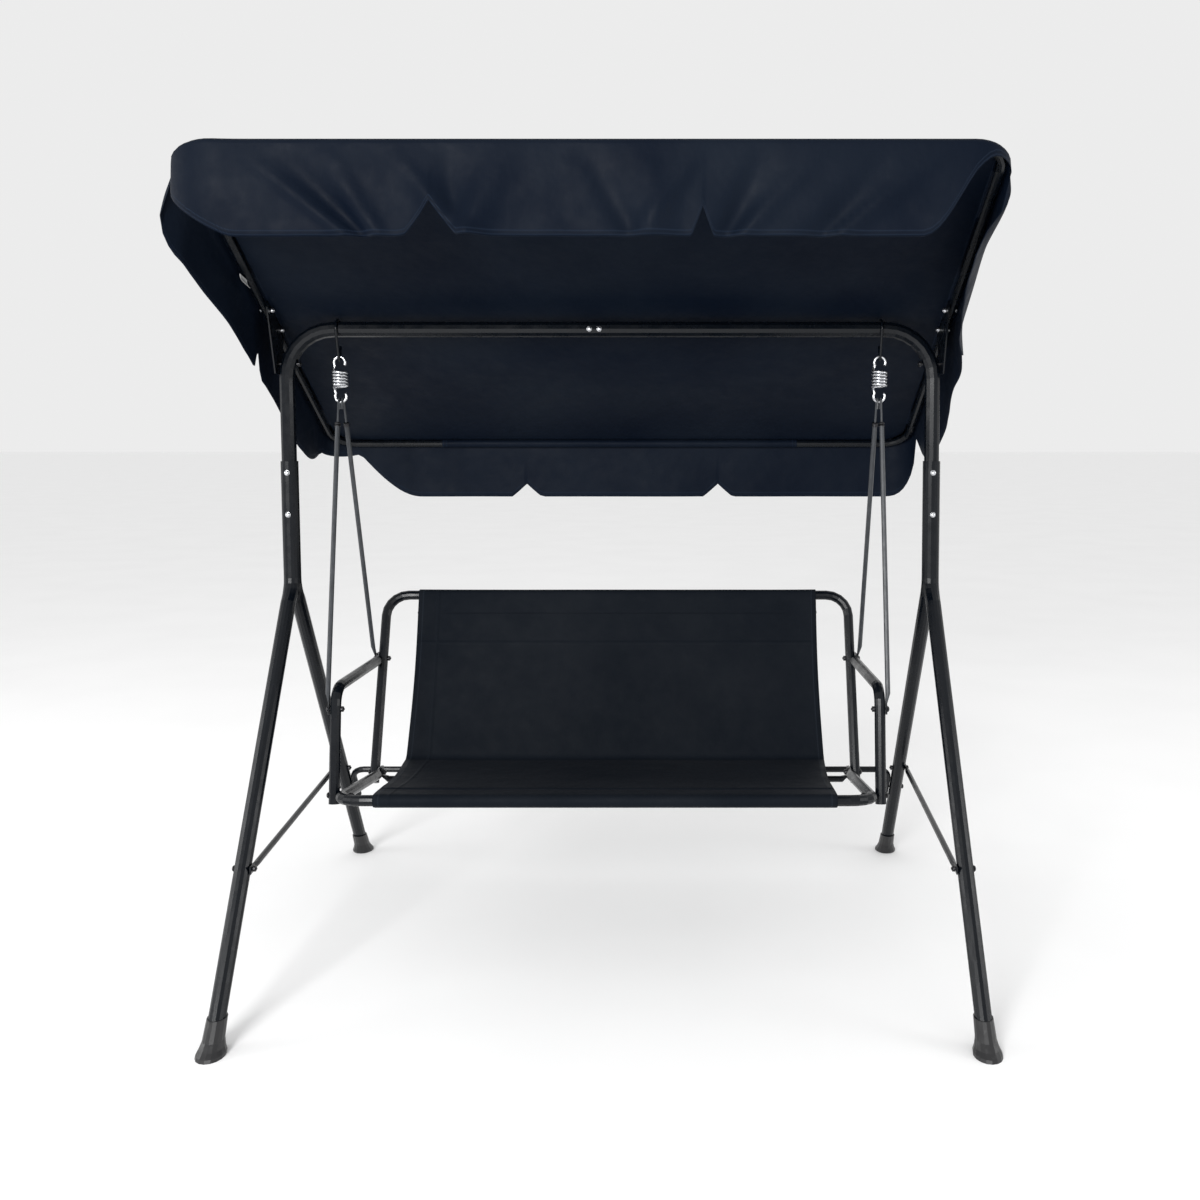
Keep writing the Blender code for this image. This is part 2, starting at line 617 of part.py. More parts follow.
def make_sling():
    """One cloth that wraps the back's top tube, folds at the seat's rear and wraps the front rail."""
    wrap = SEAT_R + 0.0010 + SLING_T
    top = back_point(0, BACK_TOP_Z)
    front = SEAT_FRONT
    back_run = (SLING_FOLD - top).normalized()
    path = []
    for i in range(13):
        angle = radians(-70 + 215 * i / 12)
        path.append(top + Vector((0, cos(angle), sin(angle))) * wrap)
    path += rounded_path([path[-1] + back_run * 0.02, SLING_FOLD, front + Vector((0, 0.03, wrap + 0.002))],
                         0.02, 3)
    for i in range(11):
        angle = radians(85 + 200 * i / 10)
        path.append(front + Vector((0, cos(angle), sin(angle))) * wrap)
    square = [(1, 1), (-1, 1), (-1, -1), (1, -1)]
    sizes = [(SLING_HALF_WIDTH, SLING_T)] * len(path)
    loft("sling_fabric", path, X_AXIS, square, sizes, SLING_CLOTH, Vector((0, 0, ROD_PIVOT_Z)))


def build():
    clear_scene()
    rails = make_top_rails()
    legs = {}
    for end_word, end in ENDS.items():
        for word, side in SIDES.items():
            legs[end_word, word] = make_leg(f"leg_{end_word}_{word}", side, end)
            make_foot(f"foot_cap_{end_word}_{word}", side, end)
    make_clamps(rails, legs)
    make_braces(legs)
    make_rear_crossbar(legs)
    make_canopy(rails)
    for word, side in SIDES.items():
        make_hook("bar_hook_" + word, side)
        make_spring("spring_" + word, side)
    make_seat()
    make_sling()


build()
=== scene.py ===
"""Three-seater garden swing bench with a tilting canopy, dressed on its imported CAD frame.

Units are metres, in the row frame: X across, Y from front to rear, Z up.
"""
import json
from collections import namedtuple
from math import asin, atan2, cos, exp, pi, radians, sin

import bpy
import numpy as np
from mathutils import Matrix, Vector, noise

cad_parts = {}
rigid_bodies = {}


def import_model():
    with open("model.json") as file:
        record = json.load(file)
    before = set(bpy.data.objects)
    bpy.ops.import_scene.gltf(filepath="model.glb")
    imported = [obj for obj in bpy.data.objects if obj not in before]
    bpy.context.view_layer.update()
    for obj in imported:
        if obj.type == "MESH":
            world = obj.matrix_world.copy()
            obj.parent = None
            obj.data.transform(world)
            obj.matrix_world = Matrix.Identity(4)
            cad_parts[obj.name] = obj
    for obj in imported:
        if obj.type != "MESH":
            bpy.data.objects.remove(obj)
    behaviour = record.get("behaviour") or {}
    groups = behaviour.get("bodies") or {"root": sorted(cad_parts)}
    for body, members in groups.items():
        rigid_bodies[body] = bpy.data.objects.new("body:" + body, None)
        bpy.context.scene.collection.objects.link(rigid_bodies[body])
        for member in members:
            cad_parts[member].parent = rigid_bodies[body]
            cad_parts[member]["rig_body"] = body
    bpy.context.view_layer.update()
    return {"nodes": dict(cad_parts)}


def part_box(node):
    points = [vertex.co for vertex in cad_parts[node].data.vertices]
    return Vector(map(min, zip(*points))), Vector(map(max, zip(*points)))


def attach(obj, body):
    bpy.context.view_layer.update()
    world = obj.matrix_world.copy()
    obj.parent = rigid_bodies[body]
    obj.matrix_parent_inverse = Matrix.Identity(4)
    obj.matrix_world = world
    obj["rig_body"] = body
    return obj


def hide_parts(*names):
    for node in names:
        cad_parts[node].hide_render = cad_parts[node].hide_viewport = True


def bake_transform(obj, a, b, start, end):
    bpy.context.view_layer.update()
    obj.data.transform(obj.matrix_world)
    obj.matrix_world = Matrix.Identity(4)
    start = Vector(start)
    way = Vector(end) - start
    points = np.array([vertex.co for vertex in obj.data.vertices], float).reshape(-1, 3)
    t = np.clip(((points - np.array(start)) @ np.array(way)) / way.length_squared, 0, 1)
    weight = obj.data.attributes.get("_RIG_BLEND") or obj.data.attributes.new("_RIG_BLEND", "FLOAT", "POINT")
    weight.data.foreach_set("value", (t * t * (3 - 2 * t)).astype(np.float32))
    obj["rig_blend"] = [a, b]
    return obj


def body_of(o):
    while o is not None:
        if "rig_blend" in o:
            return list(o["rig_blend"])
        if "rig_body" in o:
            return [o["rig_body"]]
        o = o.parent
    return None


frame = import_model()

X_AXIS = Vector((1, 0, 0))
Y_AXIS = Vector((0, 1, 0))
Z_AXIS = Vector((0, 0, 1))
SIDES = {"left": -1, "right": 1}

# ---- sizes repeated from the CAD part ------------------------------------
BAR_Z = 1.425               # centre of the top bar, which the seat swings about
HANG_X = 0.608              # the springs' distance from the middle
SPRING_WIRE_R = 0.003
SPRING_R = 0.015
SPRING_TURNS = 5
COIL_TOP_Z = 1.3325
COIL_BOTTOM_Z = 1.2985
LOOP_R = 0.0125             # end loops of a spring
UPPER_LOOP_Z = 1.3525
LOWER_LOOP_Z = 1.2775
HOOK_WIRE_R = 0.003
HOOK_TOP_R = 0.0205         # bend over the top bar
HOOK_WRAP_R = 0.0070        # bend through the spring's upper loop
ROD_TUBE_TOP_Z = 1.218      # where a hanger rod's wire hook goes into its tube

SEAT_R = 0.012              # seat and back tubes
SEAT_FRONT = Vector((0, -0.300, 0.428))
BACK_TOP = Vector((0, 0.2847, 0.783))
SLING_FOLD = Vector((0, 0.098, 0.402))
SLING_T = 0.0012

CANOPY_SLOPE = atan2(0.62, 1)
CANOPY_MID_Z = 1.445        # height of the canopy frame's plane where it passes over the top bar
CANOPY_R = 0.009            # canopy tubes
CANOPY_X = 0.7585           # side tubes' distance from the middle
CANOPY_FRONT = -0.440 / cos(CANOPY_SLOPE)
CANOPY_REAR = 0.450 / cos(CANOPY_SLOPE)
CANOPY_BEND = 0.060
CANVAS_T = 0.0011


# ---- mesh helpers ---------------------------------------------------------
def add_piece(name, vertices, faces, finish, body, nodes=(), plan=None, edge=None):
    """A smooth-shaded mesh that rides on a body, if one is named.

    plan is each vertex's place in the flat cloth, and edge its distances to the stitched edges.
    """
    mesh = bpy.data.meshes.new(name)
    mesh.from_pydata([tuple(v) for v in vertices], [], faces)
    for layer_name, pairs in (("plan", plan), ("edge", edge)):
        if pairs is not None:
            layer = mesh.uv_layers.new(name=layer_name)
            for loop in mesh.loops:
                layer.data[loop.index].uv = pairs[loop.vertex_index]
    mesh.materials.append(finish)
    mesh.shade_smooth()
    piece = bpy.data.objects.new(name, mesh)
    bpy.context.collection.objects.link(piece)
    if body:
        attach(piece, body)
    if nodes:
        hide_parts(*nodes)
    return piece


def skin(rings, closed=True, capped=True):
    """(vertices, faces) between equal rings. closed joins a ring's ends, and capped fills the end rings."""
    size = len(rings[0])
    faces = []
    for i in range(len(rings) - 1):
        for j in range(size if closed else size - 1):
            k = (j + 1) % size
            faces.append((i * size + j, i * size + k, (i + 1) * size + k, (i + 1) * size + j))
    if capped:
        faces.append(tuple(range(size))[::-1])
        last = (len(rings) - 1) * size
        faces.append(tuple(range(last, last + size)))
    return [v for ring in rings for v in ring], faces


def perpendicular(direction):
    """Two unit vectors square to a direction and to each other."""
    side = direction.cross(Y_AXIS if abs(direction.x) > 0.9 else X_AXIS).normalized()
    return side, side.cross(direction).normalized()


def wire_rings(points, radius, sides=12):
    """Rings along a smooth path, carried forward without twist."""
    rings = []
    side = None
    for i, point in enumerate(points):
        run = (points[min(i + 1, len(points) - 1)] - points[max(i - 1, 0)]).normalized()
        if side is None:
            side = perpendicular(run)[0]
        side = (side - run * side.dot(run)).normalized()
        across = run.cross(side)
        ring = [point + (side * cos(2 * pi * k / sides) + across * sin(2 * pi * k / sides)) * radius
                for k in range(sides)]
        rings.append(ring)
    return rings


def turned_rings(start, direction, profile, sides, hexagon=()):
    """Rings round an axis. profile is (distance, radius) pairs, and hexagon lists the six-sided ones."""
    side, across = perpendicular(direction)
    rings = []
    for index, (distance, radius) in enumerate(profile):
        ring = []
        for k in range(sides):
            angle = 2 * pi * k / sides
            reach = radius
            if index in hexagon:
                reach = radius * cos(pi / 6) / cos((angle + pi / 6) % (pi / 3) - pi / 6)
            ring.append(start + direction * distance + (side * cos(angle) + across * sin(angle)) * reach)
        rings.append(ring)
    return rings


def sharpen(mesh, degrees):
    """Smooth shading, apart from edges over this angle."""
    mesh.shade_smooth()
    mesh.set_sharp_from_angle(angle=radians(degrees))


# ---- materials ------------------------------------------------------------
CLOTH_SPECULAR = 0.065
SHEEN_TINT = (0.80, 0.84, 0.95, 1)
STITCH_PITCH = 0.0045
STITCH_SOLID = 0.0007       # half width of a stitch line where it is full
STITCH_FADED = 0.0018       # and where it has faded out


def scaled(colour, factor):
    return tuple(c * factor for c in colour)


class Finish:
    """Builds one procedural material."""

    def __init__(self, name, **sockets):
        self.material = bpy.data.materials.new(name)
        self.material.use_nodes = True
        self.tree = self.material.node_tree
        self.shader = self.tree.nodes["Principled BSDF"]
        self.place = self.node("ShaderNodeTexCoord").outputs["Object"]
        for socket, value in sockets.items():
            self.shader.inputs[socket.replace("_", " ")].default_value = value

    def node(self, kind, **settings):
        made = self.tree.nodes.new(kind)
        for key, value in settings.items():
            setattr(made, key, value)
        return made

    def feed(self, socket, value):
        """Links a socket's value, or sets a number or colour."""
        if isinstance(value, bpy.types.NodeSocket):
            self.tree.links.new(value, socket)
        else:
            socket.default_value = value

    def math(self, operation, *values):
        made = self.node("ShaderNodeMath", operation=operation)
        for socket, value in zip(made.inputs, values):
            self.feed(socket, value)
        return made.outputs[0]

    def noise(self, scale, detail, stretch=(1, 1, 1), place=None):
        mapping = self.node("ShaderNodeMapping")
        mapping.inputs["Scale"].default_value = stretch
        self.feed(mapping.inputs["Vector"], place or self.place)
        made = self.node("ShaderNodeTexNoise")
        made.inputs["Scale"].default_value = scale
        made.inputs["Detail"].default_value = detail
        self.feed(made.inputs["Vector"], mapping.outputs[0])
        return made.outputs["Fac"]

    def cells(self, scale):
        """A random value for each crystal-like cell."""
        made = self.node("ShaderNodeTexVoronoi")
        made.inputs["Scale"].default_value = scale
        self.feed(made.inputs["Vector"], self.place)
        split = self.node("ShaderNodeSeparateColor")
        self.feed(split.inputs[0], made.outputs["Color"])
        return split.outputs[0]

    def span(self, value, low, high, to_low, to_high):
        """Maps one range to another, clamped at its ends."""
        made = self.node("ShaderNodeMapRange")
        for socket, number in zip(made.inputs[1:5], (low, high, to_low, to_high)):
            socket.default_value = number
        self.feed(made.inputs[0], value)
        return made.outputs[0]

    def colour(self, factor, first, second):
        """Mix of two colours, each a tuple or a socket."""
        made = self.node("ShaderNodeMix", data_type="RGBA")
        self.feed(made.inputs["Factor"], factor)
        self.feed(made.inputs[6], (*first, 1) if isinstance(first, tuple) else first)
        self.feed(made.inputs[7], (*second, 1) if isinstance(second, tuple) else second)
        return made.outputs[2]

    def uv(self, layer):
        """(u, v) sockets of a UV layer."""
        split = self.node("ShaderNodeSeparateXYZ")
        self.feed(split.inputs[0], self.node("ShaderNodeUVMap", uv_map=layer).outputs[0])
        return split.outputs[0], split.outputs[1]

    def bump(self, layers):
        """layers is (height, strength, distance in metres) for each, from coarse to fine."""
        normal = None
        for height, strength, distance in layers:
            made = self.node("ShaderNodeBump")
            made.inputs["Strength"].default_value = strength
            made.inputs["Distance"].default_value = distance
            self.feed(made.inputs["Height"], height)
            if normal:
                self.feed(made.inputs["Normal"], normal)
            normal = made.outputs[0]
        self.feed(self.shader.inputs["Normal"], normal)

    def base(self, value):
        self.feed(self.shader.inputs["Base Color"], value)

    def rough(self, value):
        self.feed(self.shader.inputs["Roughness"], value)


def powder_coat():
    """Black powder coat with a little dust, pale specks and a fine texture."""
    made = Finish("black_powder_coat", Specular_IOR_Level=0.24)
    dust = made.span(made.noise(5.5, 5), 0.52, 0.78, 0.0, 0.35)
    speck = made.span(made.noise(160, 2), 0.66, 0.74, 0.0, 0.25)
    tint = made.colour(dust, (0.0015, 0.0026, 0.0046), (0.0045, 0.0062, 0.0088))
    made.base(made.colour(speck, tint, (0.016, 0.018, 0.021)))
    made.rough(made.span(made.noise(38, 4), 0.3, 0.7, 0.22, 0.33))
    made.bump([(made.noise(9, 2), 0.05, 0.002), (made.noise(850, 2), 0.22, 0.0002)])
    return made.material


def satin_rod():
    """Dark drawn rod with a grain along its length."""
    made = Finish("dark_satin_rod", Specular_IOR_Level=0.45)
    drawn = made.noise(240, 3, (1, 1, 0.04))
    tint = made.colour(made.span(drawn, 0.3, 0.7, 0, 1), (0.022, 0.025, 0.029), (0.040, 0.044, 0.050))
    stain = made.span(made.noise(24, 4), 0.55, 0.75, 0, 0.5)
    made.base(made.colour(stain, tint, (0.015, 0.017, 0.020)))
    made.rough(made.span(made.noise(60, 3), 0.3, 0.7, 0.30, 0.46))
    made.bump([(drawn, 0.12, 0.0002)])
    return made.material


def zinc(name, bright, dull, low, high):
    """Plated steel: crystal spangle, handling marks and a fine grain."""
    made = Finish(name, Metallic=1.0)
    tint = made.colour(made.cells(420), bright, dull)
    stain = made.span(made.noise(85, 4), 0.56, 0.74, 0, 0.55)
    made.base(made.colour(stain, tint, scaled(dull, 0.55)))
    made.rough(made.span(made.noise(190, 3), 0.3, 0.7, low, high))
    made.bump([(made.noise(900, 3), 0.25, 0.00015)])
    return made.material


def moulded_plastic():
    """Black moulded plastic with pale scuffs and a pebbled skin."""
    made = Finish("black_moulded_plastic", Specular_IOR_Level=0.5)
    scuff = made.span(made.noise(120, 5, (1, 1, 0.3)), 0.60, 0.74, 0, 0.5)
    made.base(made.colour(scuff, (0.008, 0.008, 0.009), (0.045, 0.045, 0.047)))
    made.rough(made.span(made.noise(55, 3), 0.3, 0.7, 0.30, 0.45))
    made.bump([(made.noise(1400, 2), 0.20, 0.0002), (scuff, 0.1, 0.0002)])
    return made.material


def woven(name, dark, light, pitch, weave, sheen, rough, shaded_creases, stitch_rows):
    """Plain-woven cloth, from its thread pitch and the weave's bump strength.

    creases are (axis of plan, position, width) of lines that are bumped and darkened with painted shade, and
    stitch_rows are (axis of edge, distance from it).
    """
    made = Finish(name, Sheen_Weight=sheen, Sheen_Roughness=0.42, Specular_IOR_Level=CLOTH_SPECULAR)
    made.shader.inputs["Sheen Tint"].default_value = SHEEN_TINT
    across, along = made.uv("plan")
    turn = 2 * pi / pitch
    warp = made.math("SINE", made.math("MULTIPLY", across, turn))
    weft = made.math("SINE", made.math("MULTIPLY", along, turn))
    cross = made.math("MULTIPLY", warp, weft)
    threads = made.span(cross, -1, 1, 0, 1)

    slub = made.noise(900, 2, (1, 0.06, 1), made.node("ShaderNodeUVMap", uv_map="plan").outputs[0])
    cloud = made.noise(3.2, 4)
    tint = made.colour(made.span(cloud, 0.35, 0.7, 0, 1), dark, light)
    tint = made.colour(made.span(slub, 0.4, 0.7, 0, 0.12), tint, scaled(light, 1.5))
    tint = made.colour(made.span(cross, -1, 1, 0, 0.35), tint, scaled(dark, 0.45))

    seam = None
    for axis, distance in stitch_rows:
        gap = made.uv("edge")[axis]
        near = made.math("ABSOLUTE", made.math("SUBTRACT", gap, distance))
        line = made.span(near, STITCH_SOLID, STITCH_FADED, 1, 0)
        run = made.math("ADD", across, along)
        wave = made.math("SINE", made.math("MULTIPLY", run, 2 * pi / STITCH_PITCH))
        dash = made.span(wave, -0.5, -0.2, 0, 1)
        stitch = made.math("MULTIPLY", line, dash)
        seam = stitch if seam is None else made.math("MAXIMUM", seam, stitch)
    crease_and_shade = None
    for axis, position, width in shaded_creases:
        near = made.math("ABSOLUTE", made.math("SUBTRACT", (across, along)[axis], position))
        line = made.span(near, 0.0, width, 1, 0)
        crease_and_shade = line if crease_and_shade is None else made.math("MAXIMUM", crease_and_shade, line)

    layers = [(made.noise(6, 4), 0.5, 0.016), (made.noise(40, 3), 0.2, 0.002)]
    if crease_and_shade is not None:
        # painted shade: each crease line darkens the cloth towards its dark colour, besides its bump
        tint = made.colour(made.math("MULTIPLY", crease_and_shade, 0.30), tint, dark)
        layers.append((crease_and_shade, 0.5, 0.0020))
    if seam is not None:
        tint = made.colour(made.math("MULTIPLY", seam, 0.5), tint, scaled(light, 2.6))
        layers.append((seam, 0.6, 0.0006))
    layers.append((threads, weave, 0.00025))
    made.base(tint)
    made.rough(made.span(made.noise(30, 3), 0.3, 0.7, rough - 0.06, rough + 0.06))
    made.bump(layers)
    return made.material


BLACK = powder_coat()
GREY = satin_rod()
ZINC = zinc("bright_zinc", (0.74, 0.75, 0.77), (0.56, 0.57, 0.60), 0.20, 0.36)
DARK_BOLT = zinc("blackened_bolt", (0.050, 0.050, 0.053), (0.030, 0.030, 0.032), 0.30, 0.46)
PLASTIC = moulded_plastic()
CANVAS = woven("canopy_canvas", dark=(0.0009, 0.0034, 0.0098), light=(0.0050, 0.0086, 0.0160),
               pitch=0.0009, weave=0.14, sheen=0.01, rough=0.54,
               shaded_creases=[], stitch_rows=[(0, 0.011), (0, 0.0035), (1, 0.012)])
SLING_CLOTH = woven("sling_cloth", dark=(0.0036, 0.0056, 0.0092), light=(0.0078, 0.0100, 0.0138),
                    pitch=0.0011, weave=0.16, sheen=0.01, rough=0.66,
                    shaded_creases=[(0, -0.455, 0.006), (1, 0.165, 0.006)], stitch_rows=[(0, 0.012), (1, 0.0)])
LABEL = woven("label_cloth", dark=(0.40, 0.40, 0.40), light=(0.50, 0.50, 0.49),
              pitch=0.0005, weave=0.20, sheen=0.10, rough=0.60,
              shaded_creases=[], stitch_rows=[(0, 0.0015)])


# ---- carried-over CAD pieces ----------------------------------------------
SMOOTH_BELOW = 40           # degrees between faces that are shaded as one
EDGE_ABOVE = 55             # degrees between faces whose edge is rounded
EDGE_ROUND = 0.0006


def dress_cad_nodes():
    """Smooth shading and a finish for every CAD node."""
    finishes = {"hanger_rod": GREY, "foot_cap": PLASTIC}
    for name, node in frame["nodes"].items():
        finish = next((f for start, f in finishes.items() if name.startswith(start)), BLACK)
        node.data.materials.clear()
        node.data.materials.append(finish)
        sharpen(node.data, SMOOTH_BELOW)
        soften = node.modifiers.new("soft_edges", "BEVEL")
        soften.width = EDGE_ROUND
        soften.segments = 2
        soften.limit_method = "ANGLE"
        soften.angle_limit = radians(EDGE_ABOVE)


# ---- fasteners ------------------------------------------------------------
HEAD_LENGTH = 0.0048        # from the clamped face to the head's end
HEAD_RING = 0.0034          # from the clamped face to the ring that only the CAD head has
NUT_REACH = 0.0075          # from the clamped face to the thread's end
NUT_TOP = 0.0052            # from the clamped face to the nut's outer face
END_ZONE = 0.006            # vertices this near an end belong to the head or the nut
SEAT_GAP = 0.0003
FLANGE_T = 0.0008
FLANGE_EDGE = 0.0001
NUT_EDGE = 0.0005
SHANK_R = 0.003
THREAD_ROOT_R = SHANK_R * 0.86
THREAD_PITCH = 0.0008
DOME_STEPS = 8
ZINC_PLATED = ("top_rail_bolt", "clamp_bolt", "canopy_bolt")
ZINC_TRIM = 0.76
DARK_TRIM = 0.9


def measure_bolt(node):
    """(head end, direction to the nut, length, head radius, nut radius) of a CAD bolt."""
    spots = np.array([v.co[:] for v in node.data.vertices])
    centre = (spots.max(0) + spots.min(0)) / 2
    axis = np.linalg.svd(spots - spots.mean(0))[2][0]
    along = (spots - centre) @ axis
    radius = np.linalg.norm((spots - centre) - np.outer(along, axis), axis=1)
    head_ring = abs(along - (along.min() + HEAD_LENGTH - HEAD_RING)) < 0.0002
    if not head_ring.any():
        axis = -axis
        along = -along
    start = along.min()
    length = along.max() - start
    head = radius[along < start + END_ZONE].max()
    nut = radius[along > start + length - END_ZONE].max()
    return Vector(centre + axis * start), Vector(axis).normalized(), length, head, nut


def head_profile(head):
    """Dome and thin flange of a coach bolt, from its crown to its shank."""
    profile = []
    for i in range(DOME_STEPS + 1):
        angle = pi / 2 * i / DOME_STEPS
        profile.append((-SEAT_GAP - FLANGE_T - (HEAD_LENGTH - SEAT_GAP - FLANGE_T) * cos(angle),
                        max(head * 0.93 * sin(angle), 0.0002)))
    profile += [(-SEAT_GAP - FLANGE_T + FLANGE_EDGE, head), (-SEAT_GAP - FLANGE_EDGE, head)]
    profile += [(-SEAT_GAP, head * 0.97), (-SEAT_GAP, SHANK_R)]
    return profile


def nut_profile(grip, nut):
    """Chamfered nut and the thread that stands out of it. Its second and third points are six-sided."""
    corner = nut * 1.02
    profile = [(grip + SEAT_GAP, nut * 0.94), (grip + SEAT_GAP + NUT_EDGE, corner),
               (grip + NUT_TOP - NUT_EDGE, corner), (grip + NUT_TOP, nut * 0.90),
               (grip + NUT_TOP, THREAD_ROOT_R)]
    for i in range(int((NUT_REACH - NUT_TOP) / THREAD_PITCH)):
        at = grip + NUT_TOP + THREAD_PITCH * i
        profile += [(at + THREAD_PITCH * 0.45, SHANK_R), (at + THREAD_PITCH * 0.95, THREAD_ROOT_R)]
    profile.append((grip + NUT_REACH, SHANK_R * 0.70))
    return profile


def make_fastener(name, finish, trim):
    """Domed coach bolt with its nut, in place of a CAD bolt. trim keeps it inside the CAD bolt's own head."""
    node = frame["nodes"][name]
    start, direction, length, head, nut = measure_bolt(node)
    grip = length - HEAD_LENGTH - NUT_REACH
    profile = head_profile(head * trim) + [(grip + SEAT_GAP, SHANK_R)]
    hexagon = (len(profile) + 1, len(profile) + 2)
    profile += nut_profile(grip, nut)
    rings = turned_rings(start + direction * HEAD_LENGTH, direction, profile, 30, hexagon)
    vertices, faces = skin(rings)
    piece = add_piece("fastener_" + name, vertices, faces, finish, body_of(node)[0], [name])
    sharpen(piece.data, 32)


def make_fasteners():
    for name in frame["nodes"]:
        if "_bolt" in name or name.startswith("canopy_pivot"):
            if name.startswith(ZINC_PLATED):
                make_fastener(name, ZINC, ZINC_TRIM)
            else:
                make_fastener(name, DARK_BOLT, DARK_TRIM)


# ---- springs and hooks ----------------------------------------------------
LOOP_SWEEP = 240            # degrees of wire in a spring's end loop
LOOP_STEPS = 24
TURN_STEPS = 36
HOOK_TAIL = 0.45            # the wire ends this share of the way from its wrap to its start
# (distance from the tube's top, radius) of the crimped collar
FERRULE = [(-0.0015, 0.0030), (-0.0010, 0.0052), (0.0, 0.0064), (0.0020, 0.0067), (0.0030, 0.0060),
           (0.0042, 0.0060), (0.0052, 0.0067), (0.0080, 0.0066), (0.0086, 0.0059)]


def loop_points(centre_z, first_angle):
    """A spring's end loop, from an angle in degrees."""
    points = []
    for i in range(LOOP_STEPS + 1):
        angle = radians(first_angle + LOOP_SWEEP * i / LOOP_STEPS)
        points.append((LOOP_R * cos(angle), 0, centre_z + LOOP_R * sin(angle)))
    return points


def spring_path(side):
    """Extension spring: round loop, bent into a close coil, and bent out into the other loop."""
    points = loop_points(UPPER_LOOP_Z, -30)
    count = SPRING_TURNS * TURN_STEPS
    for i in range(count + 1):
        angle = pi + 2 * pi * i / TURN_STEPS
        z = COIL_TOP_Z + (COIL_BOTTOM_Z - COIL_TOP_Z) * i / count
        points.append((SPRING_R * cos(angle), SPRING_R * sin(angle), z))
    points += loop_points(LOWER_LOOP_Z, 150)
    return [Vector((side * HANG_X + x, y, z)) for x, y, z in points]


def hook_path(side):
    """Wire hook over the top bar that closes round the spring's upper loop."""
    loop_top_z = UPPER_LOOP_Z + LOOP_R
    spread = asin((HOOK_TOP_R - HOOK_WRAP_R) / (BAR_Z - loop_top_z))
    points = []
    for i in range(33):
        angle = -spread + (pi + 2 * spread) * i / 32
        points.append((HOOK_TOP_R * cos(angle), BAR_Z + HOOK_TOP_R * sin(angle)))
    for i in range(17):
        angle = pi + spread + (pi - 2 * spread) * i / 16
        points.append((HOOK_WRAP_R * cos(angle), loop_top_z + HOOK_WRAP_R * sin(angle)))
    points.append(tuple(Vector(points[-1]).lerp(Vector(points[0]), HOOK_TAIL)))
    return [Vector((side * HANG_X, y, z)) for y, z in points]


def make_hangers():
    """Both springs, their bar hooks and the crimped collars of the hanger rods."""
    for word, side in SIDES.items():
        vertices, faces = skin(wire_rings(spring_path(side), SPRING_WIRE_R))
        coil = add_piece("coil_" + word, vertices, faces, ZINC, None)
        x = side * HANG_X
        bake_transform(coil, "hook_" + word, "spring_" + word, start=(x, 0, 1.340), end=(x, 0, 1.290))
        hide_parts("spring_" + word)
        vertices, faces = skin(wire_rings(hook_path(side), HOOK_WIRE_R))
        add_piece("hook_wire_" + word, vertices, faces, BLACK, "hook_" + word,
                  ["bar_hook_" + word])
        for end in ("front", "rear"):
            make_ferrule(f"hanger_rod_{end}_{word}")


def slice_centre(name, low, high):
    """Middle of a CAD node's vertices between two heights."""
    spots = [v.co for v in frame["nodes"][name].data.vertices if low < v.co.z < high]
    return sum(spots, Vector()) / len(spots)


def make_ferrule(name):
    """Crimped collar where a rod's wire hook goes into its tube."""
    top = slice_centre(name, ROD_TUBE_TOP_Z - 0.0015, ROD_TUBE_TOP_Z + 0.0015)
    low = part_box(name)[0]
    foot = slice_centre(name, low.z, low.z + 0.045)
    vertices, faces = skin(turned_rings(top, (foot - top).normalized(), FERRULE, 20))
    piece = add_piece("ferrule_" + name, vertices, faces, DARK_BOLT, "seat")
    sharpen(piece.data, 40)


# ---- canopy cloth ---------------------------------------------------------
ROOF_LIFT = CANOPY_R + 0.0018   # cloth over the tubes' centre plane
ROOF_SAG = 0.0090
ROOF_RIPPLE = 0.0024
RIM_FADE = 0.10                 # the roof lies flat near its rim
SIDE_REACH = 0.0168             # cloth outside the side tubes' centre line
EAR_REACH = 0.020               # more reach at the front left corner, which stands loose of its bow
EAR_SPREAD = 0.055
FRONT_DROP = 0.164
REAR_DROP = 0.141
SIDE_DROP = 0.124
WRAP_ALLOWANCE = 1.6            # cloth from the roof's rim to a valance's top, in roof lifts
FRONT_NOTCHES = (-0.302, 0.198)
REAR_NOTCHES = (-0.250, 0.262)

CORE = CANOPY_X - CANOPY_BEND
CORNER_ARC = CANOPY_BEND * pi / 2
CORNER_STEPS = 9
ROOF_STEPS = 74
COLUMN_STEPS = 104
COLUMN_GAP = 0.0035             # least distance between columns, as a share of the half width
NOTCH_STEP = 0.004
WRAP_STEPS = 6
DROP_STEPS = 16
DOWNHILL = Vector((0, cos(CANOPY_SLOPE), -sin(CANOPY_SLOPE)))
ROOF_NORMAL = Vector((0, sin(CANOPY_SLOPE), cos(CANOPY_SLOPE)))


def roof_point(x, a, lift=0.0):
    """Point on the roof: a runs down the slope from above the pivot, and lift is square to it."""
    slope = CANOPY_SLOPE
    return Vector((x, a * cos(slope) + lift * sin(slope),
                   CANOPY_MID_Z - a * sin(slope) + lift * cos(slope)))


EAR_CENTRE = roof_point(-CANOPY_X, CANOPY_FRONT + CANOPY_BEND)


def smooth_noise(x, y, seed):
    return noise.noise(Vector((x, y, seed)))


def roof_lift(x, a):
    """The cloth's height over the rail plane: slack between the bar and the bows, with soft creases."""
    across = 1 - (x / CANOPY_X) ** 2
    end = CANOPY_FRONT if a < 0 else CANOPY_REAR
    along = sin(pi * min(1, abs(a / end))) ** 2
    sag = -ROOF_SAG * max(0, across) * along
    edge = min(1, (CANOPY_X - abs(x)) / RIM_FADE) * min(1, min(a - CANOPY_FRONT, CANOPY_REAR - a) / RIM_FADE)
    ripple = ROOF_RIPPLE * smooth_noise(x * 3.4 + a * 2.2, a * 7.0, 3.1)
    return ROOF_LIFT + sag + ripple * max(0, edge) * along


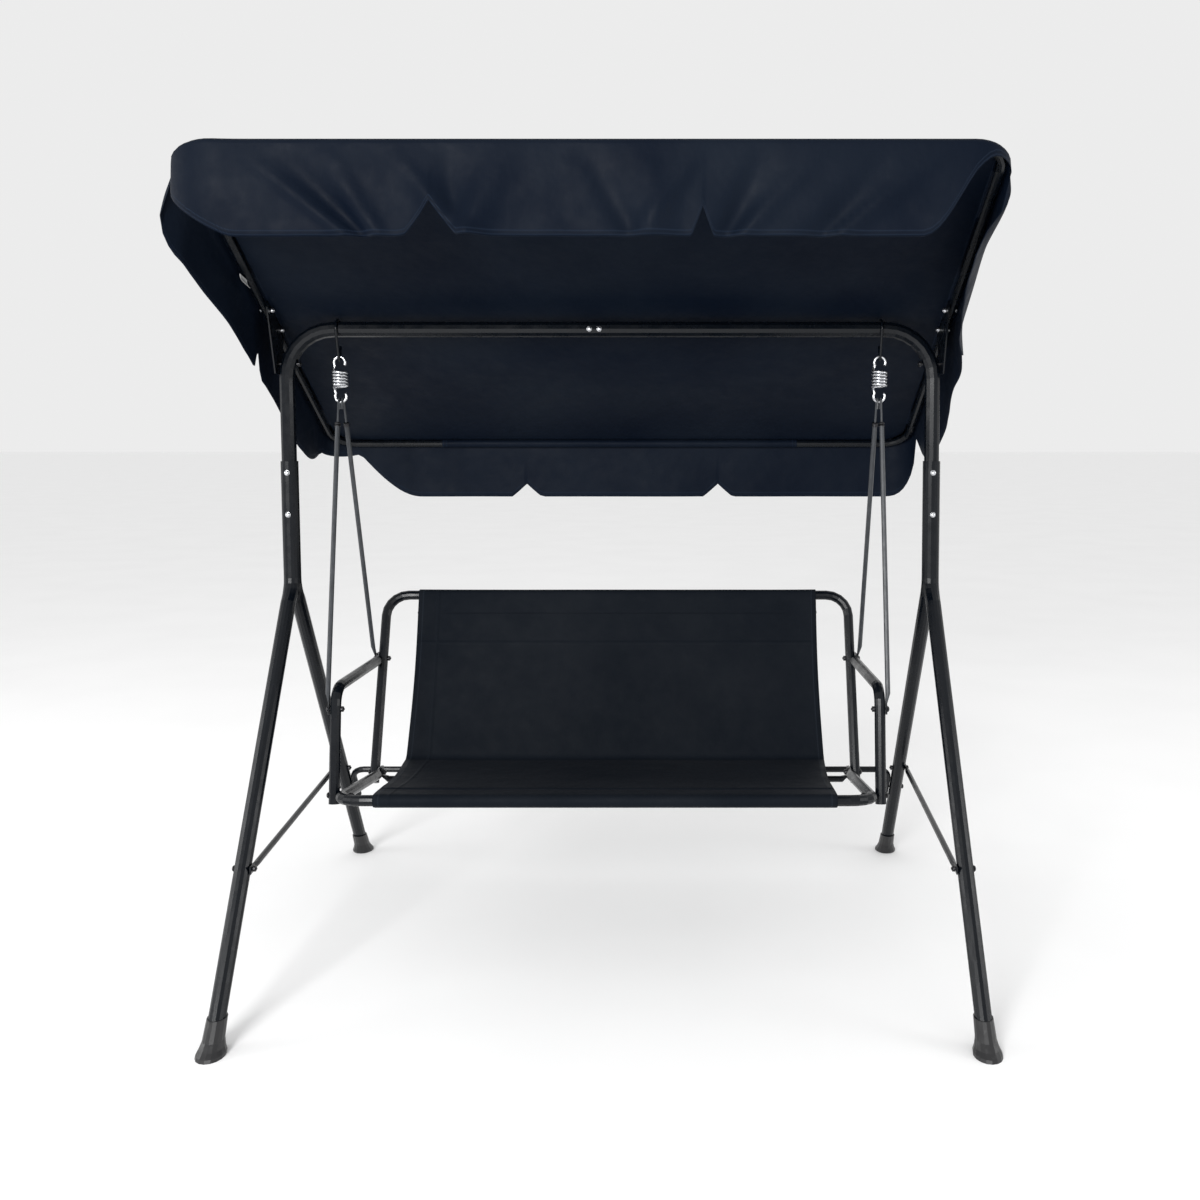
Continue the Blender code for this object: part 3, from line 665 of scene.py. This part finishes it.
def ease(value, knots):
    """Smooth step-by-step interpolation through (position, value) knots."""
    for (x0, y0), (x1, y1) in zip(knots, knots[1:]):
        if value <= x1:
            t = max(0.0, (value - x0) / (x1 - x0))
            return y0 + (y1 - y0) * t * t * (3 - 2 * t)
    return knots[-1][1]


# A hem's end: its share of the full drop goes from tip at the end to floor at start, then up to 1.
Corner = namedtuple("Corner", "start reach power tip floor")
# A slit with flared lips, by its place along the panel.
Notch = namedtuple("Notch", "centre half_width height")
# A soft fold: its place at the rim, its lean for each metre down, its width, and its height outwards.
Fold = namedtuple("Fold", "centre lean width height")


def hem_share(gap, corner):
    """Share of the full drop at this distance from the panel's end."""
    if gap < corner.start:
        return corner.tip + (corner.floor - corner.tip) * gap / corner.start
    rise = sin(pi / 2 * min(1.0, (gap - corner.start) / corner.reach)) ** corner.power
    return corner.floor + (1 - corner.floor) * rise


class Panel:
    """A valance panel that hangs from part of the canopy's rim."""

    def __init__(self, drop, corners, notches, seed, fullness, shape):
        self.drop = drop
        self.corners = corners
        self.notches = notches
        self.seed = seed
        self.fullness = fullness
        self.shape = shape

    def depth(self, along, length):
        """Hem depth below the rim at this distance along the panel."""
        first, last = self.corners
        depth = self.drop * hem_share(along, first) * hem_share(length - along, last)
        for notch in self.notches:
            depth -= notch.height * max(0.0, 1 - abs(along - notch.centre) / notch.half_width) ** 1.1
        return max(depth, 0.002)

    def offset(self, along, length, below):
        """Outward set of the cloth: waves, bulges and crinkles, the panel's shape, and flared lips."""
        share = below / self.drop
        fold = sin(2 * pi * (along / 0.31 + 1.6 * below) + self.seed) * 0.0045
        fold += smooth_noise(along * 5.5 + below * 5.0, below * 6.0, self.seed) * 0.011
        fold += smooth_noise(along * 17 - below * 12, below * 9.0, self.seed + 9) * 0.0035
        out = self.shape(along, length, below, share)
        for notch in self.notches:
            near = exp(-((along - notch.centre) / 0.035) ** 2)
            out += 0.007 * near * share ** 2 * (1 if along < notch.centre else 0.3)
        return fold * self.fullness * share ** 1.3 + out


FOLD_GAIN = 1.4
FRONT_FOLDS = [
    Fold(0.13, 1.30, 0.018, 0.011), Fold(0.21, 0.95, 0.024, -0.012), Fold(0.30, 0.55, 0.020, 0.010),
    Fold(0.41, 0.90, 0.028, 0.012), Fold(0.52, 0.10, 0.022, -0.009), Fold(0.63, -0.45, 0.030, 0.012),
    Fold(0.77, 0.60, 0.022, -0.010), Fold(0.88, 0.20, 0.030, 0.010), Fold(0.99, -0.70, 0.020, 0.012),
    Fold(1.11, -0.45, 0.026, -0.012), Fold(1.22, -1.00, 0.020, 0.010), Fold(1.34, -0.80, 0.026, -0.010),
    Fold(1.45, -1.30, 0.020, 0.010),
]
# How far the side valances' hems lean outwards, by distance from the panel's front end.
RIGHT_LEAN = [(0.0, -0.050), (0.10, -0.048), (0.30, -0.018), (0.48, 0.010), (0.62, 0.024), (0.80, 0.026),
              (0.93, 0.052)]
LEFT_LEAN = [(0.0, 0.046), (0.08, 0.032), (0.30, 0.014), (0.60, 0.012), (0.93, 0.010)]


def front_shape(along, length, below, share):
    """Both corners open outwards, and long soft folds fan down from the bow's ends."""
    left = exp(-(along / 0.09) ** 2)
    right = exp(-((length - along) / 0.10) ** 2)
    fan = 0.0
    for fold in FRONT_FOLDS:
        away = along - fold.centre - fold.lean * below
        fan += FOLD_GAIN * fold.height * exp(-(away / fold.width) ** 2)
    return 0.006 * share + 0.004 * share * left + 0.012 * share * right + fan * share ** 0.8


def rear_shape(along, length, below, share):
    """Hangs almost straight."""
    return 0.004 * share


def right_shape(along, length, below, share):
    """Curls under at the front, and flares further out towards the rear."""
    belly = 0.014 * sin(pi * min(1.0, share * 1.35)) * exp(-((along - 0.02) / 0.075) ** 2)
    return belly + ease(along, RIGHT_LEAN) * share ** 1.6


def left_shape(along, length, below, share):
    """along runs from the rear to the front, where the corner flares open as a cone."""
    return ease(length - along, LEFT_LEAN) * share ** 0.55


# Places along the front and rear panels are measured from their ends, round a corner from the middle.
MIDDLE = CORNER_ARC + CORE
FRONT_PANEL = Panel(FRONT_DROP, (Corner(0, 0.13, 0.68, 0, 0.06), Corner(0.05, 0.14, 2.0, 0.08, 0.08)),
                    [Notch(MIDDLE + FRONT_NOTCHES[0], 0.050, 0.062),
                     Notch(MIDDLE + FRONT_NOTCHES[1], 0.021, 0.054)],
                    seed=1.3, fullness=1.0, shape=front_shape)
RIGHT_PANEL = Panel(SIDE_DROP, (Corner(0, 0.06, 0.6, 0, 0.106), Corner(0, 0.08, 0.6, 0, 0.14)),
                    [Notch(0.40, 0.022, 0.016)],
                    seed=4.7, fullness=0.7, shape=right_shape)
REAR_PANEL = Panel(REAR_DROP, (Corner(0, 0.07, 0.5, 0, 0.123), Corner(0.10, 0.16, 1.0, 0.39, 0.20)),
                   [Notch(MIDDLE - REAR_NOTCHES[1], 0.040, 0.034),
                    Notch(MIDDLE - REAR_NOTCHES[0], 0.040, 0.034)],
                   seed=7.9, fullness=0.5, shape=rear_shape)
LEFT_PANEL = Panel(SIDE_DROP, (Corner(0, 0.13, 1.0, 0, 0.44), Corner(0, 0.06, 0.5, 0, 0.08)),
                   [Notch(0.480, 0.024, 0.060)],
                   seed=2.2, fullness=0.7, shape=left_shape)


def canopy_rows():
    """Slope position, half width and rim direction of each row of the roof, front to rear."""
    rows, half_widths, turns = [], [], []
    for k in range(CORNER_STEPS + 1):
        angle = pi / 2 * k / CORNER_STEPS
        rows.append(CANOPY_FRONT + CANOPY_BEND * (1 - cos(angle)))
        half_widths.append(CORE + CANOPY_BEND * sin(angle))
        turns.append(angle - pi / 2)
    start = CANOPY_FRONT + CANOPY_BEND
    stop = CANOPY_REAR - CANOPY_BEND
    for k in range(1, ROOF_STEPS):
        rows.append(start + (stop - start) * k / ROOF_STEPS)
        half_widths.append(CANOPY_X)
        turns.append(0.0)
    for k in range(CORNER_STEPS, -1, -1):
        angle = pi / 2 * k / CORNER_STEPS
        rows.append(CANOPY_REAR - CANOPY_BEND * (1 - cos(angle)))
        half_widths.append(CORE + CANOPY_BEND * sin(angle))
        turns.append(pi / 2 - angle)
    return rows, half_widths, turns


def canopy_columns():
    """Column positions as a share of the half width, closer together at the valance slits."""
    spots = {round(-1 + 2 * k / COLUMN_STEPS, 5) for k in range(COLUMN_STEPS + 1)}
    for centre in FRONT_NOTCHES + REAR_NOTCHES:
        spots |= {round((centre + NOTCH_STEP * k) / CORE, 5) for k in range(-9, 10)}
    ordered = sorted(spots)
    kept = [ordered[0]]
    for spot in ordered[1:]:
        if spot - kept[-1] > COLUMN_GAP:
            kept.append(spot)
    kept[-1] = 1.0
    return kept


class CanopyMesh:
    """The canopy cloth as it grows: a grid for the roof, then ribs that hang from its rim."""

    def __init__(self):
        self.rows, self.half_widths, self.turns = canopy_rows()
        self.columns = canopy_columns()
        self.vertices, self.faces = [], []
        self.plan, self.edge = [], []
        self.grid = self.lay_roof()
        self.ribs = []

    def put(self, point, uv, gaps):
        """Adds a vertex with its place in the flat cloth and its distances to the hem and the rim."""
        self.vertices.append(point)
        self.plan.append(uv)
        self.edge.append(gaps)
        return len(self.vertices) - 1

    def lay_roof(self):
        """Roof vertices and faces. Returns the vertex numbers, row by row."""
        grid = []
        for a, half in zip(self.rows, self.half_widths):
            line = []
            for u in self.columns:
                x = half * u
                rim_gap = min(CANOPY_X - abs(x), a - CANOPY_FRONT, CANOPY_REAR - a)
                line.append(self.put(roof_point(x, a, roof_lift(x, a)), (x, a), (1.0, rim_gap)))
            grid.append(line)
        for upper, lower in zip(grid, grid[1:]):
            for j in range(len(self.columns) - 1):
                self.faces.append((upper[j], lower[j], lower[j + 1], upper[j + 1]))
        return grid

    def roof_area(self):
        area = 0.0
        for i in range(len(self.rows) - 1):
            area += (self.rows[i + 1] - self.rows[i]) * (self.half_widths[i] + self.half_widths[i + 1])
        return area

    def rims(self):
        """Grid places that the front, right, rear and left valances hang from, in order round the roof."""
        last_row = len(self.rows) - 1
        last_column = len(self.columns) - 1
        rear_corner = last_row - CORNER_STEPS
        front = [(i, 0) for i in range(CORNER_STEPS, 0, -1)]
        front += [(0, j) for j in range(last_column + 1)]
        front += [(i, last_column) for i in range(1, CORNER_STEPS + 1)]
        right = [(i, last_column) for i in range(CORNER_STEPS, rear_corner + 1)]
        rear = [(i, last_column) for i in range(rear_corner, last_row)]
        rear += [(last_row, j) for j in range(last_column, -1, -1)]
        rear += [(i, 0) for i in range(last_row - 1, rear_corner - 1, -1)]
        left = [(i, 0) for i in range(rear_corner, CORNER_STEPS - 1, -1)]
        return front, right, rear, left

    def outward(self, i, j):
        """Direction out of the rim at a grid place, in the roof's plane."""
        if i == 0:
            return -DOWNHILL
        if i == len(self.rows) - 1:
            return DOWNHILL
        side = -1 if j == 0 else 1
        return X_AXIS * side * cos(self.turns[i]) + DOWNHILL * sin(self.turns[i])

    def hang(self, rim, panel):
        """Adds one valance's ribs, apart from those shared with its neighbours, and returns its flat area."""
        spots = []
        along = [0.0]
        for i, j in rim:
            centre = roof_point(self.half_widths[i] * self.columns[j], self.rows[i])
            if spots:
                along.append(along[-1] + (centre - spots[-1][0]).length)
            spots.append((centre, self.outward(i, j), self.grid[i][j]))
        length = along[-1]
        for (centre, outward, top), s in zip(spots, along):
            if self.ribs and s in (0.0, length) and top in (self.ribs[0][0], self.ribs[-1][0]):
                continue
            self.ribs.append(self.make_rib(centre, outward, top, panel, s, length))
        return sum((along[n + 1] - along[n]) * (panel.depth(along[n], length) + ROOF_LIFT * WRAP_ALLOWANCE)
                   for n in range(len(along) - 1))

    def make_rib(self, centre, outward, top, panel, s, length):
        """Vertex numbers from the rim, round the tube and down to the hem."""
        reach = ROOF_LIFT + (SIDE_REACH - ROOF_LIFT) * abs(outward.x) ** 2
        reach += EAR_REACH * exp(-((centre - EAR_CENTRE).length / EAR_SPREAD) ** 2)
        stop = atan2(ROOF_NORMAL.z, -outward.z)
        arc = stop * (reach + ROOF_LIFT) / 2
        deep = panel.depth(s, length)
        flat_start = Vector((centre.x, centre.y / cos(CANOPY_SLOPE)))
        flat_out = Vector((outward.x, outward.y / cos(CANOPY_SLOPE))).normalized()
        rib = [top]
        for k in range(1, WRAP_STEPS + 1):
            angle = stop * k / WRAP_STEPS
            point = centre + ROOF_NORMAL * ROOF_LIFT * cos(angle) + outward * reach * sin(angle)
            uv = flat_start + flat_out * arc * k / WRAP_STEPS
            rib.append(self.put(point, tuple(uv), (deep + arc * (1 - k / WRAP_STEPS), -arc * k / WRAP_STEPS)))
        hang = centre + ROOF_NORMAL * ROOF_LIFT * cos(stop) + outward * reach * sin(stop)
        away = Vector((outward.x, outward.y, 0)).normalized()
        for k in range(1, DROP_STEPS + 1):
            below = deep * (k / DROP_STEPS) ** 0.9
            point = hang + away * panel.offset(s, length, below) - Z_AXIS * below
            uv = flat_start + flat_out * (arc + below)
            rib.append(self.put(point, tuple(uv), (deep - below, -arc - below)))
        return rib

    def join_ribs(self):
        """Faces between neighbouring ribs, all the way round."""
        for first, second in zip(self.ribs, self.ribs[1:] + self.ribs[:1]):
            for k in range(len(first) - 1):
                self.faces.append((first[k], first[k + 1], second[k + 1], second[k]))


def make_canopy_cloth():
    """One cloth: a roof over the bows and four valances, slit apart at the corners."""
    mesh = CanopyMesh()
    area = mesh.roof_area()
    for rim, panel in zip(mesh.rims(), (FRONT_PANEL, RIGHT_PANEL, REAR_PANEL, LEFT_PANEL)):
        area += mesh.hang(rim, panel)
    mesh.join_ribs()
    cloth = add_piece("canopy_cloth", mesh.vertices, mesh.faces, CANVAS, "canopy", ["canopy_fabric"],
                      mesh.plan, mesh.edge)
    thicken(cloth, CANVAS_T)


def thicken(piece, thickness):
    solid = piece.modifiers.new("cloth_thickness", "SOLIDIFY")
    solid.thickness = thickness
    solid.offset = 0.0


SLEEVE_HALF = 0.47
SLEEVE_STEPS = 120
SLEEVE_SIDES = 20
TAG_HALF = 0.011
TAG_STEPS = 8
TAG_PLACE = Vector((-(CANOPY_X + 0.0065), -0.166, -0.024))


def make_sleeve(end):
    """Puckered cloth pocket round the middle of a bow's cross tube."""
    a = CANOPY_FRONT if end == "front" else CANOPY_REAR
    first = roof_point(-SLEEVE_HALF, a)
    last = roof_point(SLEEVE_HALF, a)
    rings, plan, edge = [], [], []
    for i in range(SLEEVE_STEPS + 1):
        centre = first.lerp(last, i / SLEEVE_STEPS)
        ring = []
        for k in range(SLEEVE_SIDES):
            angle = 2 * pi * k / SLEEVE_SIDES
            reach = CANOPY_R + 0.0009 + 0.0006 * (1 + smooth_noise(centre.x * 30, angle, 2.0))
            outward = Vector((0, cos(angle), sin(angle)))
            ring.append(centre + outward * min(reach, ROOF_LIFT - CANVAS_T))
            plan.append((centre.x, angle * CANOPY_R))
            edge.append((min(i, SLEEVE_STEPS - i) * 2 * SLEEVE_HALF / SLEEVE_STEPS, 0.5))
        rings.append(ring)
    vertices, faces = skin(rings, capped=False)
    add_piece("bow_sleeve_" + end, vertices, faces, CANVAS, "canopy",
              plan=plan, edge=edge)


def make_care_tag():
    """Blank woven tag stitched inside the left valance."""
    rings, plan, edge = [], [], []
    for i in range(TAG_STEPS + 1):
        ring = []
        for j in range(TAG_STEPS + 1):
            y = TAG_HALF * (2 * i / TAG_STEPS - 1)
            z = TAG_HALF * (2 * j / TAG_STEPS - 1)
            curl = 0.010 * (1 - j / TAG_STEPS) ** 2 + 0.008 * i / TAG_STEPS
            ring.append(roof_point(TAG_PLACE.x + curl, TAG_PLACE.y + y, TAG_PLACE.z + z))
            plan.append((y, z))
            edge.append((TAG_HALF - max(abs(y), abs(z)), 0.5))
        rings.append(ring)
    vertices, faces = skin(rings, closed=False, capped=False)
    tag = add_piece("care_tag", vertices, faces, LABEL, "canopy", ["care_label"], plan, edge)
    thicken(tag, 0.0004)


# ---- sling seat -----------------------------------------------------------
SLING_WRAP = SEAT_R + 0.0010 + SLING_T / 2
SLING_COLUMNS = 72
FOLD_REACH = 0.016          # the cloth rounds its fold over this length on both sides
TOP_HALF = 0.507            # half widths at the back's tube, the fold and the front tube
FOLD_HALF = 0.512
FRONT_HALF = 0.489
WAIST = 0.004
TOP_ROW = 18                # the row at the rear of the back's tube, which distances are measured from
BACK_SEAM = 0.045           # distances of the sleeves' stitching from the back's and front tubes
FRONT_SEAM = 0.062


def arc_points(centre, radius, first, last, steps):
    """Arc square to X, between two angles in degrees that turn up from the rear."""
    return [centre + Vector((0, cos(radians(first + (last - first) * i / steps)),
                             sin(radians(first + (last - first) * i / steps)))) * radius
            for i in range(steps + 1)]


def curve_points(corners, steps):
    """Points on a Catmull-Rom curve through the corners."""
    padded = [corners[0] * 2 - corners[1], *corners, corners[-1] * 2 - corners[-2]]
    points = []
    for i in range(1, len(padded) - 2):
        p, q, r, s = padded[i - 1:i + 3]
        for k in range(steps):
            t = k / steps
            points.append(0.5 * ((2 * q) + (r - p) * t + (2 * p - 5 * q + 4 * r - s) * t ** 2
                                 + (3 * q - p - 3 * r + s) * t ** 3))
    points.append(corners[-1])
    return points


def sling_path():
    """The cloth's line, from the stitched end of the top sleeve to the stitched end of the front one."""
    down = (SLING_FOLD - BACK_TOP).normalized()
    rear = Vector((0, -down.z, down.y)).normalized()
    forward = (SEAT_FRONT + Z_AXIS * SLING_WRAP - SLING_FOLD).normalized()
    bend_start = SLING_FOLD - down * FOLD_REACH
    bend_stop = SLING_FOLD + forward * FOLD_REACH
    top_arc = arc_points(BACK_TOP, SLING_WRAP, -48, 153, 26)
    front_arc = arc_points(SEAT_FRONT, SLING_WRAP, 88, 262, 24)

    stitch = BACK_TOP + down * 0.052 - rear * (SLING_WRAP - 0.0020)
    back_face = BACK_TOP + down * 0.030 + rear * 0.004
    path = curve_points([stitch, back_face, top_arc[0]], 6)[:-1] + top_arc
    for i in range(1, 33):
        t = i / 33
        path.append(top_arc[-1].lerp(bend_start, t) + rear * 0.0045 * sin(pi * t))
    for i in range(11):
        t = i / 10
        path.append(bend_start * (1 - t) ** 2 + SLING_FOLD * 2 * t * (1 - t) + bend_stop * t ** 2)
    for i in range(1, 31):
        t = i / 31
        path.append(bend_stop.lerp(front_arc[0], t) - Z_AXIS * 0.0075 * sin(pi * t) ** 1.5)
    path += front_arc
    belly = [front_arc[-1], SEAT_FRONT + Vector((0, 0.016, -SLING_WRAP - 0.0050)),
             SEAT_FRONT + Vector((0, 0.040, -0.006)),
             SEAT_FRONT + Vector((0, FRONT_SEAM, SLING_WRAP - 0.0050))]
    return path + curve_points(belly, 8)[1:]


def sling_half_width(s, fold, front):
    """Half width at a distance along the cloth: it waists between its tubes and its fold."""
    if s <= 0:
        return TOP_HALF
    if s <= fold:
        t = s / fold
        return TOP_HALF + (FOLD_HALF - TOP_HALF) * t - WAIST * sin(pi * t)
    if s <= front:
        t = (s - fold) / (front - fold)
        return FOLD_HALF + (FRONT_HALF - FOLD_HALF) * t - WAIST * sin(pi * t)
    return FRONT_HALF


def make_sling_cloth():
    """One stretched cloth with a sleeve at each tube and a hem down both sides."""
    path = sling_path()
    lengths = [0.0]
    for first, second in zip(path, path[1:]):
        lengths.append(lengths[-1] + (second - first).length)
    places = [s - lengths[TOP_ROW] for s in lengths]
    fold = min(range(len(path)), key=lambda i: (path[i] - SLING_FOLD).length)
    front = min(range(fold, len(path)), key=lambda i: (path[i] - SEAT_FRONT - Z_AXIS * SLING_WRAP).length)
    vertices, plan, edge, rows = [], [], [], []
    for i, (point, s) in enumerate(zip(path, places)):
        half = sling_half_width(s, places[fold], places[front])
        ahead = path[min(i + 1, len(path) - 1)] - path[max(i - 1, 0)]
        normal = ahead.cross(X_AXIS).normalized()
        free = max(0.0, min(1.0, min(s, places[front] - s) / 0.10))
        seam_gap = min(abs(s - BACK_SEAM), abs(places[front] - FRONT_SEAM - s))
        row = []
        for j in range(SLING_COLUMNS + 1):
            u = 2 * j / SLING_COLUMNS - 1
            x = half * u
            ripple = 0.0016 * smooth_noise(x * 6, lengths[i] * 4, 5.0)
            curl = 0.0022 * abs(u) ** 14
            row.append(len(vertices))
            vertices.append(Vector((x, point.y, point.z)) + normal * free * (ripple + curl))
            plan.append((x, s))
            edge.append((half - abs(x), seam_gap))
        rows.append(row)
    faces = []
    for first, second in zip(rows, rows[1:]):
        for j in range(SLING_COLUMNS):
            faces.append((first[j], first[j + 1], second[j + 1], second[j]))
    cloth = add_piece("sling_cloth", vertices, faces, SLING_CLOTH, "seat", ["sling_fabric"],
                      plan, edge)
    thicken(cloth, SLING_T)


# ---- studio ---------------------------------------------------------------
CAMERA_PLACE = (0.147, -2.6646, 1.2029)
CAMERA_DOWN = 8.344         # degrees below level
CAMERA_LENS = 34.85
CAMERA_SHIFT = -0.0625
FLOOR_REACH = 60.0
WORLD_STRENGTH = 0.84


def make_floor():
    pale = Finish("studio_floor", Specular_IOR_Level=0.1)
    pale.base(pale.colour(pale.span(pale.noise(2.0, 2), 0.3, 0.7, 0, 1), (0.94,) * 3, (0.96,) * 3))
    pale.rough(pale.span(pale.noise(14, 3), 0.3, 0.7, 0.85, 0.95))
    vertices = [(-FLOOR_REACH, -FLOOR_REACH, 0), (FLOOR_REACH, -FLOOR_REACH, 0),
                (FLOOR_REACH, FLOOR_REACH, 0), (-FLOOR_REACH, FLOOR_REACH, 0)]
    floor = add_piece("studio_floor", vertices, [(0, 1, 2, 3)], pale.material, None)


def make_lights():
    """Pale world and three square area lights."""
    world = bpy.data.worlds.new("studio_world")
    world.use_nodes = True
    world.node_tree.nodes["Background"].inputs[0].default_value = (1.0, 1.0, 1.0, 1)
    world.node_tree.nodes["Background"].inputs[1].default_value = WORLD_STRENGTH
    bpy.context.scene.world = world

    for name, place, aim, size, power in (
        ("key", (-2.0, -5.8, 2.6), (0, 0, 1.0), 2.0, 325),
        ("left", (-4.2, -0.6, 1.6), (0, 0, 0.8), 1.4, 30),
        ("right", (4.4, -1.2, 1.8), (0, 0, 0.8), 1.4, 30),
    ):
        light = bpy.data.lights.new(name, "AREA")
        light.shape = "SQUARE"
        light.size = size
        light.energy = power
        holder = bpy.data.objects.new(name, light)
        holder.location = place
        holder.rotation_euler = (Vector(aim) - Vector(place)).to_track_quat("-Z", "Y").to_euler()
        bpy.context.collection.objects.link(holder)


def make_camera():
    lens = bpy.data.cameras.new("camera")
    lens.lens = CAMERA_LENS
    lens.sensor_width = 36.0
    lens.shift_x = CAMERA_SHIFT
    camera = bpy.data.objects.new("camera", lens)
    camera.location = CAMERA_PLACE
    camera.rotation_euler = (radians(90 - CAMERA_DOWN), 0, 0)
    bpy.context.collection.objects.link(camera)
    bpy.context.scene.camera = camera
    bpy.context.scene.view_settings.view_transform = "Standard"


make_floor()
make_lights()
make_camera()
dress_cad_nodes()
make_fasteners()
make_hangers()
make_care_tag()
for word in ("front", "rear"):
    make_sleeve(word)
make_canopy_cloth()
make_sling_cloth()
